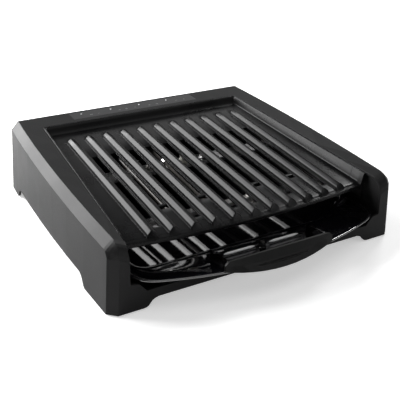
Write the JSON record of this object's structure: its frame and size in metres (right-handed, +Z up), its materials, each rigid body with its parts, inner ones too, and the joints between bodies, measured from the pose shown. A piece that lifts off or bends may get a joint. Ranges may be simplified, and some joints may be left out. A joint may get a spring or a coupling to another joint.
{
  "type": "electric grill",
  "caption": "Countertop electric grill: low moulded housing, sloping ridged and slotted cooking plate that lifts out, pull-out drip tray with crescent handle.",
  "frame": {"origin": "on the ground below the middle of the whole grill's bounding box, tray handle included", "axes": "+Z up, -Y towards the front with the tray's handle, +X to the right as seen from the front"},
  "size_m": [0.4094, 0.4283, 0.105],
  "materials": {
    "housing_black": "fine-grained black moulding",
    "panel_black": "satin black film",
    "lens_clear": "clear light guides",
    "plate_black": "cast, dark non-stick coating",
    "tray_black": "glossy black enamel",
    "handle_black": "dull black moulding",
    "bracket_black": "glossy black",
    "bright_steel": "plain zinc-plated steel",
    "black_steel": "black painted sheet steel",
    "element_sheath": "dark oxidised tube",
    "rubber_black": "black rubber",
    "board_green": "circuit board",
    "ceramic_white": "unglazed ceramic",
    "relay_blue": "blue moulding",
    "sleeve_brown": "brown sleeve",
    "sleeve_blue": "blue sleeve"
  },
  "bodies": {
    "grill_body": {"base_plate": "black_steel", "base_screw_1": "bright_steel", "base_screw_2": "bright_steel", "base_screw_3": "bright_steel", "base_screw_4": "bright_steel", "base_screw_5": "bright_steel", "base_screw_6": "bright_steel", "capacitor": "panel_black", "control_board": "board_green", "control_panel": "panel_black", "element_bar_front": "bright_steel", "element_bar_rear": "bright_steel", "element_clip_1": "bright_steel", "element_clip_2": "bright_steel", "element_clip_3": "bright_steel", "element_clip_4": "bright_steel", "foot_front_left": "rubber_black", "foot_front_right": "rubber_black", "foot_rear_left": "rubber_black", "foot_rear_right": "rubber_black", "heat_shield": "black_steel", "heating_element": "element_sheath", "housing": "housing_black", "indicator_lens_1": "lens_clear", "indicator_lens_2": "lens_clear", "indicator_lens_3": "lens_clear", "indicator_lens_4": "lens_clear", "relay": "relay_blue", "runner_left": "black_steel", "runner_right": "black_steel", "runner_screw_1": "bright_steel", "runner_screw_2": "bright_steel", "runner_screw_3": "bright_steel", "runner_screw_4": "bright_steel", "shield_screw_1": "bright_steel", "shield_screw_2": "bright_steel", "shield_screw_3": "bright_steel", "shield_screw_4": "bright_steel", "terminal_block": "ceramic_white", "thermal_fuse": "ceramic_white", "thermostat": "ceramic_white", "wire_live": "sleeve_brown", "wire_neutral": "sleeve_blue"},
    "plate": {"cooking_plate": "plate_black"},
    "tray": {"bracket_screw": "bright_steel", "drip_tray": "tray_black", "handle_bracket": "bracket_black", "handle_screw_left": "bright_steel", "handle_screw_right": "bright_steel", "tray_handle": "handle_black"}
  },
  "joints": [
    {"name": "plate_lift", "type": "slide", "parent": "grill_body", "child": "plate", "axis": [0, 0, 1], "range_m": [0, 0.08]},
    {"name": "tray_slide", "type": "slide", "parent": "grill_body", "child": "tray", "axis": [0, -1, 0], "range_m": [0, 0.26]}
  ]
}
